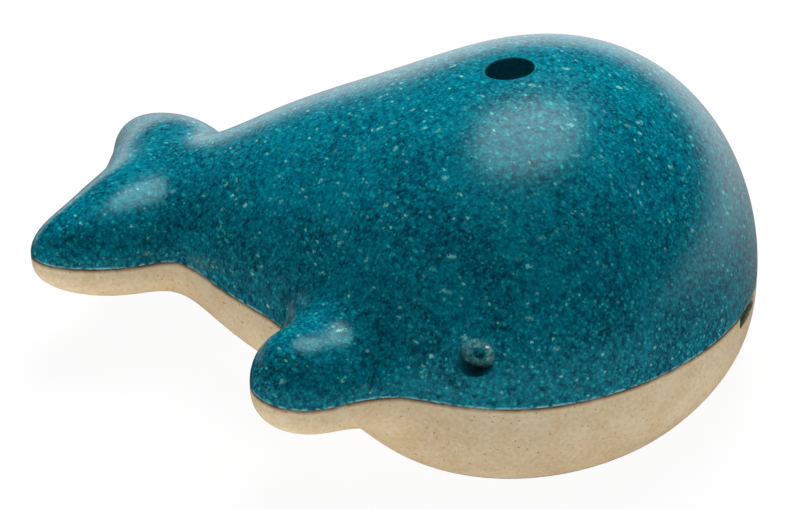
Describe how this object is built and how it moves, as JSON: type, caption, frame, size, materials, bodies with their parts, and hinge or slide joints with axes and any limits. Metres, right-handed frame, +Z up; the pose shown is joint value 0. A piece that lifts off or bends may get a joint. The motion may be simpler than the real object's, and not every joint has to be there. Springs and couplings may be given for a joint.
{
  "type": "squeaking whale bath toy",
  "caption": "Rounded whale of pressed sawdust in two glued halves, with a mouth slot, a blowhole and a fluttering reed inside that squeaks when air is driven through it.",
  "frame": {"origin": "middle of the whale's length and width, on the ground under its flat belly", "axes": "+X towards the nose, +Y to the whale's left, +Z up out of the blowhole"},
  "size_m": [0.0984, 0.0908, 0.0443],
  "materials": {
    "teal_composite": "dyed pressed sawdust with pale fibre flecks, satin",
    "natural_composite": "undyed pressed sawdust with fine brown specks, matt",
    "beech": "plain beech dowel",
    "ivory_plastic": "moulded, ivory",
    "seal_rubber": "soft black rubber",
    "reed_base_plastic": "moulded, cream",
    "cork_wedge": "cork",
    "reed_brass": "rolled strip"
  },
  "bodies": {
    "whale": {"upper_shell": "teal_composite", "lower_shell": "natural_composite", "locating_dowels": "beech", "squeaker_housing": "ivory_plastic", "squeaker_seal": "seal_rubber", "squeaker_reed_base": "reed_base_plastic", "squeaker_reed_wedge": "cork_wedge"},
    "reed": {"squeaker_reed": "reed_brass"}
  },
  "joints": [
    {"name": "reed_flutter", "type": "hinge", "parent": "whale", "child": "reed", "pos_m": [0.01474, 0, 0.02605], "axis": [0, -1, 0], "range_deg": [-1.2, 6], "stiffness_Nm_per_rad": 0.02}
  ]
}
